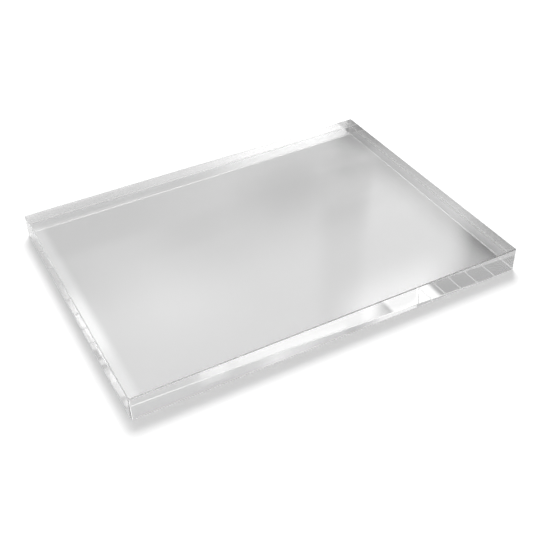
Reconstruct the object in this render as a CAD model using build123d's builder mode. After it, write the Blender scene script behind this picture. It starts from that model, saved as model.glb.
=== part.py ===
from build123d import *
import os

# Clear acrylic sheet, one piece of half inch cast stock sawn to 8 by 6 inches and polished on all four edges.
# It lies flat. X runs along the long edges, Y along the short edges and Z is up.
# The origin is the middle of the underside.

# Driving sizes, mm
sheet_length = 203.2
sheet_width = 152.4
sheet_thickness = 12.7

# The buffing wheel eases the four upright corners a little more than the long arrises
corner_radius = 0.8
arris_width = 0.4

# The sheet
with BuildPart() as acrylic_sheet:
    # Sawn outline with eased corners, taken up to the stock thickness
    with BuildSketch(Plane.XY):
        RectangleRounded(sheet_length, sheet_width, corner_radius)
    extrude(amount=sheet_thickness)
    # A fine 45 degree arris runs all the way round the top face and the underside
    flat_faces = acrylic_sheet.faces().filter_by(Axis.Z)
    chamfer(flat_faces.edges(), length=arris_width)

acrylic_sheet.part.label = "acrylic_sheet"

# Output
os.makedirs("parts", exist_ok=True)
export_step(acrylic_sheet.part, "parts/acrylic_sheet.step")
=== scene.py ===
import math

import bpy
from mathutils import Matrix, Vector


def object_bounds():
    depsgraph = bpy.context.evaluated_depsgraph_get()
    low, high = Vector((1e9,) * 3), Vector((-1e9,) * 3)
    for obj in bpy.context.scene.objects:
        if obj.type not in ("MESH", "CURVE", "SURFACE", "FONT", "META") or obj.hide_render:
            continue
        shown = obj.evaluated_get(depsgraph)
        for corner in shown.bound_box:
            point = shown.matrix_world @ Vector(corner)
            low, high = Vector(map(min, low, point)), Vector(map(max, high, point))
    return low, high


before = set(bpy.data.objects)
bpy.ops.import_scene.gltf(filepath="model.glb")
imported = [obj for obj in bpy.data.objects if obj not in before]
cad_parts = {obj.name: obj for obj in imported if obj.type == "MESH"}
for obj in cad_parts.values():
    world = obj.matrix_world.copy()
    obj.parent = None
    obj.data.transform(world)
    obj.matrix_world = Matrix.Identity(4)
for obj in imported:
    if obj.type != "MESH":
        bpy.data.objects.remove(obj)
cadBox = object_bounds()
halfLength, halfWidth = cadBox[1][0], cadBox[1][1]
print("stage: frame loaded")


def linearFromHex(text):
    values = [int(text[i:i + 2], 16) / 255 for i in (1, 3, 5)]
    return (*(v / 12.92 if v <= 0.04045 else ((v + 0.055) / 1.055) ** 2.4 for v in values), 1.0)


white = linearFromHex("#FFFFFF")


def addNode(tree, kind, values=None):
    # a value that is another node's output is linked; the rest are set on the input or on the node itself
    node = tree.nodes.new(kind)
    for key, value in (values or {}).items():
        if isinstance(value, bpy.types.NodeSocket):
            tree.links.new(value, node.inputs[key])
        elif isinstance(key, int) or key in node.inputs:
            node.inputs[key].default_value = value
        else:
            setattr(node, key, value)
    return node


def emptyMaterial(name):
    material = bpy.data.materials.new(name)
    material.use_nodes = True
    material.node_tree.nodes.clear()
    return material, material.node_tree


# Clear cast acrylic: water clear through the faces, buffed edges with faint streaks and softer arrises
acrylic = {
    "ior": 1.49,
    "waveLength": 0.06, "waveHeight": 0.00002,      # slow waves from casting between glass plates, metres
    # buffing streaks along the edges, metres; drawn coarser than the real ones so that they show
    "streakLength": 0.03, "streakPitch": 0.0025, "streakHeight": 0.0000015,
    "edgeRoughness": 0.03,
    "arrisOutside": 1.0, "arrisInside": 0.3,        # roughness of the sanded arris, met from either side
    "slant": math.sqrt(0.5),                        # Z of the normal of a 45 degree arris
    # how near a normal's Z comes to the slant, or to 0 on an upright face: from no mask to a full one
    "slantReach": (0.15, 0.1), "uprightReach": (0.2, 0.1),
}


def castAcrylicPolished():
    material, tree = emptyMaterial("castAcrylicPolished")
    geometry = addNode(tree, "ShaderNodeNewGeometry")
    normal = addNode(tree, "ShaderNodeSeparateXYZ", {0: geometry.outputs["True Normal"]})
    levelness = addNode(tree, "ShaderNodeMath", {"operation": "ABSOLUTE", 0: normal.outputs["Z"]})
    # arris is 1 where the surface slants, edge is 1 on the upright faces
    off = addNode(tree, "ShaderNodeMath", {
        "operation": "SUBTRACT", 0: levelness.outputs[0], 1: acrylic["slant"]})
    far = addNode(tree, "ShaderNodeMath", {"operation": "ABSOLUTE", 0: off.outputs[0]})
    arris, edge = (
        addNode(tree, "ShaderNodeMapRange", {"Value": value, "From Min": none, "From Max": full}).outputs[0]
        for value, (none, full) in ((far.outputs[0], acrylic["slantReach"]),
                                    (levelness.outputs[0], acrylic["uprightReach"])))

    place = addNode(tree, "ShaderNodeTexCoord")
    wave = addNode(tree, "ShaderNodeTexNoise", {
        "Vector": place.outputs["Object"], "Scale": 1 / acrylic["waveLength"], "Detail": 1.0})
    along, across = 1 / acrylic["streakLength"], 1 / acrylic["streakPitch"]
    stretched = addNode(tree, "ShaderNodeMapping", {
        "Vector": place.outputs["Object"], "Scale": (along, along, across)})
    streak = addNode(tree, "ShaderNodeTexNoise", {"Vector": stretched.outputs[0], "Scale": 1.0, "Detail": 2.0})
    onEdge = addNode(tree, "ShaderNodeMath", {"operation": "MULTIPLY", 0: streak.outputs[0], 1: edge})
    waveLift = addNode(tree, "ShaderNodeMath", {
        "operation": "MULTIPLY", 0: wave.outputs[0], 1: acrylic["waveHeight"]})
    lift = addNode(tree, "ShaderNodeMath", {
        "operation": "MULTIPLY_ADD", 0: onEdge.outputs[0], 1: acrylic["streakHeight"], 2: waveLift.outputs[0]})
    bump = addNode(tree, "ShaderNodeBump", {"Height": lift.outputs[0], "Strength": 1.0, "Distance": 1.0})

    # the noise has a mean of a half, so twice the edge's roughness times it comes out right
    buffed = addNode(tree, "ShaderNodeMath", {
        "operation": "MULTIPLY", 0: onEdge.outputs[0], 1: 2 * acrylic["edgeRoughness"]})
    # a sanded arris scatters light from outside; seen from inside the sheet it stays a fine clear line
    sanded = addNode(tree, "ShaderNodeMapRange", {
        "Value": geometry.outputs["Backfacing"],
        "To Min": acrylic["arrisOutside"], "To Max": acrylic["arrisInside"]})
    rough = addNode(tree, "ShaderNodeMath", {
        "operation": "MULTIPLY_ADD", 0: arris, 1: sanded.outputs[0], 2: buffed.outputs[0]})
    shader = addNode(tree, "ShaderNodeBsdfPrincipled", {
        "Base Color": white, "IOR": acrylic["ior"], "Transmission Weight": 1.0,
        "Roughness": rough.outputs[0], "Normal": bump.outputs[0]})
    addNode(tree, "ShaderNodeOutputMaterial", {"Surface": shader.outputs[0]})
    return material


sheetObject = bpy.data.objects["acrylic_sheet"]
sheetObject.material_slots[0].material = castAcrylicPolished()
print("stage: acrylic material")


def planeObject(name, corners, material):
    mesh = bpy.data.meshes.new(name)
    mesh.from_pydata(corners, [], [(0, 1, 2, 3)])
    mesh.materials.append(material)
    thing = bpy.data.objects.new(name, mesh)
    bpy.context.scene.collection.objects.link(thing)
    return thing


lowestLight = 0.02      # no part of a surface of light is darker than this


def patchSum(tree, level, patches, upAxis):
    # an even level and a sum of soft-edged rectangles: each patch adds its own level inside its spans along
    # and up, each given as start, end and softness in metres, where None leaves that side open
    place = addNode(tree, "ShaderNodeTexCoord")
    split = addNode(tree, "ShaderNodeSeparateXYZ", {0: place.outputs["Object"]})
    total = level
    for patch in patches:
        part = patch["level"]
        for axis, key in (("X", "along"), (upAxis, "up")):
            start, end, soft = patch.get(key, (None, None, None))
            for edge, before, after in ((start, 0.0, 1.0), (end, 1.0, 0.0)):
                if edge is None:
                    continue
                ramp = addNode(tree, "ShaderNodeMapRange", {
                    "interpolation_type": "SMOOTHSTEP", "Value": split.outputs[axis],
                    "From Min": edge - soft, "From Max": edge + soft, "To Min": before, "To Max": after})
                part = addNode(tree, "ShaderNodeMath", {
                    "operation": "MULTIPLY", 0: ramp.outputs[0], 1: part}).outputs[0]
        total = addNode(tree, "ShaderNodeMath", {"operation": "ADD", 0: part, 1: total}).outputs[0]
    return addNode(tree, "ShaderNodeMath", {"operation": "MAXIMUM", 0: total, 1: lowestLight}).outputs[0]


# Floor: pale matt laminate that glows a little; met through the sheet it is glossier and painted darker, a
# painted shade for the sheet's shadow
pastEnd, pastSide = halfLength + 0.0002, halfWidth + 0.0003
floorValues = {
    "size": 6.0, "gap": 0.00005,
    # through: the floor's colour met through the sheet, painted darker as painted shade under the sheet
    "colour": "#CFCFCF", "through": "#3A3A3A",
    "roughness": 0.6, "roughnessThrough": 0.13, "ior": 2.0,
    # paintedShadeGlowThrough: the floor's glow met through the sheet, a painted shade level below the lit floor
    # met directly
    "glowSeen": 0.43, "paintedShadeGlowThrough": 0.53,
    "fade": (0.4, 1.6),
    # painted light and shade on the floor, met only through the sheet
    "paintedLightAndShade": [
        # painted light: a bright border inside the left edge, in place of light bent through the sheet
        {"along": (None, -0.095, 0.0025), "up": (-0.09, 0.07, 0.006), "level": 0.13},
        {"along": (None, -0.0955, 0.0025), "up": (-0.038, 0.008, 0.012), "level": 0.15},
        {"along": (None, -0.092, 0.006), "up": (-0.03, 0.005, 0.012), "level": 0.03},
        # painted light and shade: a slow change across the middle
        {"along": (-0.08, -0.04, 0.025), "up": (-0.04, 0.03, 0.03), "level": 0.07},
        {"along": (0.0, 0.07, 0.03), "up": (0.02, 0.06, 0.02), "level": -0.07},
        {"along": (0.066, 0.086, 0.008), "up": (0.026, 0.056, 0.014), "level": -0.09},
        # painted shade: dimmer along the right edge, at both its corners and along the left of the back edge
        {"along": (0.094, pastEnd, 0.007), "up": (-pastSide, pastSide, 0.0002), "level": -0.07},
        {"along": (0.087, pastEnd, 0.009), "up": (-pastSide, pastSide, 0.0002), "level": -0.11},
        {"along": (0.082, pastEnd, 0.012), "up": (0.052, pastSide, 0.012), "level": -0.13},
        {"along": (0.092, pastEnd, 0.008), "up": (-pastSide, -0.046, 0.016), "level": -0.14},
        {"along": (-pastEnd, -0.035, 0.03), "up": (0.07, halfWidth, 0.001), "level": -0.09},
        # painted light beyond the right end, met only through the sheet: it brightens the cells of the left
        # edge
        {"along": (pastEnd, None, 0.0002), "up": (-pastSide, 0.0, 0.004), "level": 0.15},
        {"along": (pastEnd, None, 0.0002), "up": (-pastSide, -0.03, 0.006), "level": 0.13},
        {"along": (pastEnd, None, 0.0002), "up": (0.0, 0.041, 0.002), "level": 0.7},
        {"along": (pastEnd, None, 0.0002), "up": (0.0525, 0.0575, 0.001), "level": 0.7},
        {"along": (pastEnd, None, 0.0002), "up": (0.0615, 0.08, 0.001), "level": 0.7},
    ],
}


def paleFloor():
    # a mix node takes its factor at input 0, numbers at 2 and 3, and colours at 6 and 7
    material, tree = emptyMaterial("paleLaminateFloor")
    lightPath = addNode(tree, "ShaderNodeLightPath")
    throughRay = lightPath.outputs["Is Transmission Ray"]
    seen = addNode(tree, "ShaderNodeMath", {
        "operation": "MAXIMUM", 0: lightPath.outputs["Is Camera Ray"], 1: lightPath.outputs["Is Glossy Ray"]})
    seenGlow = addNode(tree, "ShaderNodeMath", {
        "operation": "MULTIPLY", 0: seen.outputs[0], 1: floorValues["glowSeen"]})
    # far from the sheet the floor runs out into the white ground, with no dark horizon
    place = addNode(tree, "ShaderNodeTexCoord")
    away = addNode(tree, "ShaderNodeVectorMath", {"operation": "LENGTH", 0: place.outputs["Object"]})
    near, far = floorValues["fade"]
    fade = addNode(tree, "ShaderNodeMapRange", {
        "interpolation_type": "SMOOTHSTEP", "Value": away.outputs["Value"], "From Min": near, "From Max": far})
    direct = addNode(tree, "ShaderNodeMix", {0: fade.outputs[0], 2: seenGlow.outputs[0], 3: 1.0})
    # a ray that leaves the clear sheet counts as glossy and as transmitted, so this mix comes last
    # the painted light and shade of the floor, met only through the sheet
    through = patchSum(tree, floorValues["paintedShadeGlowThrough"], floorValues["paintedLightAndShade"], "Y")
    glow = addNode(tree, "ShaderNodeMix", {0: throughRay, 2: direct.outputs[0], 3: through})
    # painted shade: the floor met through the sheet takes the darker through colour
    colour = addNode(tree, "ShaderNodeMix", {
        "data_type": "RGBA", 0: throughRay,
        6: linearFromHex(floorValues["colour"]), 7: linearFromHex(floorValues["through"])})
    gloss = addNode(tree, "ShaderNodeMix", {
        0: throughRay, 2: floorValues["roughness"], 3: floorValues["roughnessThrough"]})
    shader = addNode(tree, "ShaderNodeBsdfPrincipled", {
        "Base Color": colour.outputs[2], "Roughness": gloss.outputs[0], "IOR": floorValues["ior"],
        "Emission Color": white, "Emission Strength": glow.outputs[0]})
    addNode(tree, "ShaderNodeOutputMaterial", {"Surface": shader.outputs[0]})
    half, z = floorValues["size"] / 2, -floorValues["gap"]
    planeObject("paleFloor", [(-half, -half, z), (half, -half, z), (half, half, z), (-half, half, z)], material)


paleFloor()
print("stage: floor")

# A polished mirror strip that glows, hidden on the floor behind the sheet and met only through it: painted
# light and a painted reflection that double the back wall in the front edge
strip = {
    "along": (-0.12, 0.12), "up": (halfWidth + 0.0004, 0.1), "gap": 0.00002,
    "colour": "#FAFAFA", "roughness": 0.02, "level": 0.3,
    # painted light: the levels of the strip's glow
    "patches": [
        {"along": (None, -0.035, 0.03), "level": 0.17},
        {"along": (0.085, None, 0.002), "level": 0.65},
    ],
}


def paintedReflectionStrip():
    material, tree = emptyMaterial("paintedReflectionMirror")
    # painted light and painted reflection: a glowing mirror, though it is no lamp
    shader = addNode(tree, "ShaderNodeBsdfPrincipled", {
        "Base Color": linearFromHex(strip["colour"]), "Metallic": 1.0, "Roughness": strip["roughness"],
        "Emission Color": white, "Emission Strength": patchSum(tree, strip["level"], strip["patches"], "Y")})
    addNode(tree, "ShaderNodeOutputMaterial", {"Surface": shader.outputs[0]})
    (left, right), (near, far), z = strip["along"], strip["up"], -strip["gap"]
    thing = planeObject(
        "paintedReflectionStrip", [(left, near, z), (right, near, z), (right, far, z), (left, far, z)], material)
    thing.visible_camera = thing.visible_diffuse = thing.visible_glossy = thing.visible_shadow = False


paintedReflectionStrip()
print("stage: polished strip")

# Soft walls of light behind, in front and at the right. Patches count for every ray, mirrored ones only
# for rays mirrored by the sheet and through ones only for rays that come through it. Along is the wall's
# own length, which a turned wall has on its own X.
backWall = {
    "place": 0.2, "turn": 0, "reach": (-1.0, 1.2), "height": (0.0, 1.0), "level": 0.58,
    "patches": [
        {"up": (0.182, 0.42, 0.038), "level": 0.5},
        {"along": (0.157, 0.198, 0.01), "up": (0.108, None, 0.01), "level": -0.28},
        {"along": (0.203, None, 0.006), "up": (0.152, 0.2, 0.01), "level": 0.25},
        {"along": (0.18, 0.285, 0.025), "up": (0.27, 0.4, 0.025), "level": 1.0},
        {"along": (0.32, None, 0.022), "up": (0.18, 0.45, 0.03), "level": -1.4},
    ],
    "mirrored": [
        # a bright line low down, mirrored in the strip along the back of the top face
        {"along": (0.13, 0.33, 0.05), "up": (0.09, 0.1075, 0.002), "level": 1.3},
        {"along": (0.04, 0.33, 0.08), "up": (0.09, 0.101, 0.002), "level": 1.7},
        {"along": (-0.1, 0.07, 0.03), "up": (0.09, 0.101, 0.002), "level": 0.55},
        {"along": (0.005, 0.075, 0.02), "up": (0.09, 0.101, 0.002), "level": 0.4},
        # the dark far right corner
        {"along": (0.178, 0.33, 0.003), "up": (0.09, 0.1085, 0.002), "level": -3.0},
        {"along": (0.168, 0.33, 0.008), "up": (0.108, 0.13, 0.008), "level": -0.5},
        # slow lighter and darker places above the line
        {"along": (0.04, 0.165, 0.02), "up": (0.115, 0.135, 0.004), "level": 0.08},
        {"along": (None, 0.012, 0.035), "up": (0.101, 0.138, 0.006), "level": -0.46},
        {"along": (None, -0.02, 0.02), "up": (0.101, 0.108, 0.002), "level": -0.2},
        {"along": (0.15, 0.176, 0.006), "up": (0.116, 0.136, 0.003), "level": 0.25},
        {"along": (0.015, 0.08, 0.02), "up": (0.139, 0.165, 0.006), "level": -0.25},
        {"along": (-0.06, -0.02, 0.02), "up": (0.14, 0.17, 0.01), "level": 0.15},
        {"along": (0.172, 0.21, 0.01), "up": (0.139, 0.168, 0.006), "level": -0.4},
        {"along": (0.158, 0.2, 0.01), "up": (0.139, 0.19, 0.01), "level": -0.15},
    ],
    "through": [
        # lighter and darker lengths of the front edge's bands
        {"along": (0.045, None, 0.02), "up": (None, 0.16, 0.01), "level": 0.08},
        {"along": (0.06, 0.105, 0.012), "up": (0.1, 0.16, 0.01), "level": 0.14},
        {"along": (0.08, 0.148, 0.014), "up": (0.1, 0.16, 0.01), "level": -0.14},
        {"along": (0.163, 0.212, 0.006), "up": (0.1, 0.16, 0.01), "level": 0.3},
        {"along": (0.155, 0.198, 0.008), "up": (0.108, 0.16, 0.01), "level": 0.28},
    ],
}
frontWall = {
    "place": -0.9, "turn": 0, "reach": (-1.6, 1.9), "height": (0.0, 1.6), "level": 1.0,
    "patches": [
        {"along": (0.5, None, 0.25), "up": (0.2, 1.3, 0.1), "level": 0.4},
        {"along": (None, -0.42, 0.05), "level": -0.8},
    ],
}
rightWall = {
    "place": -0.25, "turn": 90, "reach": (-1.4, -0.1), "height": (0.0, 1.0), "level": 0.6,
    "through": [
        # the bright cells of the left edge, and the light and shade beside them
        {"along": (None, -0.655, 0.006), "up": (0.61, None, 0.02), "level": 0.15},
        {"along": (None, -0.6, 0.05), "up": (None, 0.5, 0.05), "level": -0.25},
        {"along": (-0.79, -0.652, 0.008), "up": (0.61, None, 0.02), "level": 2.2},
        {"along": (-0.44, None, 0.12), "up": (0.15, 0.47, 0.03), "level": 1.5},
    ],
}


def softWall(name, values):
    material, tree = emptyMaterial(name)
    lightPath = addNode(tree, "ShaderNodeLightPath")
    mirrored, through = (
        patchSum(tree, values["level"], values.get("patches", []) + values.get(kind, []), "Z")
        for kind in ("mirrored", "through"))
    level = addNode(tree, "ShaderNodeMix", {
        0: lightPath.outputs["Is Transmission Ray"], 2: mirrored, 3: through})
    glow = addNode(tree, "ShaderNodeEmission", {"Strength": level.outputs[0]})
    addNode(tree, "ShaderNodeOutputMaterial", {"Surface": glow.outputs[0]})
    (left, right), (low, high), y = values["reach"], values["height"], values["place"]
    wall = planeObject(name, [(left, y, low), (right, y, low), (right, y, high), (left, y, high)], material)
    wall.rotation_euler.z = math.radians(values["turn"])
    wall.visible_camera = wall.visible_diffuse = wall.visible_shadow = False


softWall("backWall", backWall)
softWall("frontWall", frontWall)
softWall("rightWall", rightWall)
print("stage: walls of light")

# Air: white behind everything that the camera sees, greyer for mirrored rays and dim as a light
airValues = {"seen": 1.0, "mirrored": 0.6, "lighting": 0.12}


def studioAir():
    world = bpy.data.worlds.new("studioAir")
    bpy.context.scene.world = world
    world.use_nodes = True
    tree = world.node_tree
    tree.nodes.clear()
    lightPath = addNode(tree, "ShaderNodeLightPath")
    seen = addNode(tree, "ShaderNodeMapRange", {
        "Value": lightPath.outputs["Is Camera Ray"],
        "To Min": airValues["mirrored"], "To Max": airValues["seen"]})
    level = addNode(tree, "ShaderNodeMix", {
        0: lightPath.outputs["Is Diffuse Ray"], 2: seen.outputs[0], 3: airValues["lighting"]})
    air = addNode(tree, "ShaderNodeBackground", {"Color": white, "Strength": level.outputs[0]})
    addNode(tree, "ShaderNodeOutputWorld", {"Surface": air.outputs[0]})


studioAir()
print("stage: air")

# Lamps: a large panel high behind the sheet throws its shadow forwards, a low one in front lifts the arrises
lamps = {
    "backPanel": {"place": (0.5, 1.05, 1.6), "size": 1.0, "watts": 36.0},
    "frontPanel": {"place": (-0.1, -1.35, 0.75), "size": 0.8, "watts": 6.5},
}
for name, values in lamps.items():
    data = bpy.data.lights.new(name, "AREA")
    data.shape = "SQUARE"
    data.size = values["size"]
    data.energy = values["watts"]
    lamp = bpy.data.objects.new(name, data)
    lamp.location = values["place"]
    lamp.rotation_euler = (-lamp.location).to_track_quat("-Z", "Y").to_euler()
    bpy.context.scene.collection.objects.link(lamp)
print("stage: lamps")

# Camera: angles in degrees, distance, target and clip in metres, focal and frame in pixels, sensor in mm
view = {
    "azimuth": -26.784, "elevation": 38.340, "roll": -2.116,
    "distance": 0.4540, "target": (-0.00366, -0.01559, 0.0), "clip": 0.01,
    "focal": 900.1, "frame": 540, "sensor": 36.0,
}


def photoCamera():
    azimuth, elevation, roll = (math.radians(view[key]) for key in ("azimuth", "elevation", "roll"))
    back = Vector((math.sin(azimuth) * math.cos(elevation),
                   -math.cos(azimuth) * math.cos(elevation),
                   math.sin(elevation)))
    right = (-back).cross(Vector((0, 0, 1))).normalized()
    up = right.cross(-back)
    turnedRight = right * math.cos(roll) + up * math.sin(roll)
    turnedUp = up * math.cos(roll) - right * math.sin(roll)
    data = bpy.data.cameras.new("photoCamera")
    data.sensor_width = view["sensor"]
    data.lens = view["focal"] * view["sensor"] / view["frame"]
    data.clip_start = view["clip"]
    camera = bpy.data.objects.new("photoCamera", data)
    matrix = Matrix((turnedRight, turnedUp, back)).transposed().to_4x4()
    matrix.translation = Vector(view["target"]) + back * view["distance"]
    camera.matrix_world = matrix
    bpy.context.scene.collection.objects.link(camera)
    bpy.context.scene.camera = camera


photoCamera()
print("stage: camera")

# enough bounces for light that runs along inside the sheet
bounces = {"all": 32, "glossy": 24, "transmission": 24}
scene = bpy.context.scene
scene.view_settings.view_transform = "Standard"
scene.cycles.max_bounces = bounces["all"]
scene.cycles.glossy_bounces = bounces["glossy"]
scene.cycles.transmission_bounces = bounces["transmission"]
scene.cycles.caustics_refractive = False
scene.cycles.caustics_reflective = False
scene.cycles.use_denoising = True
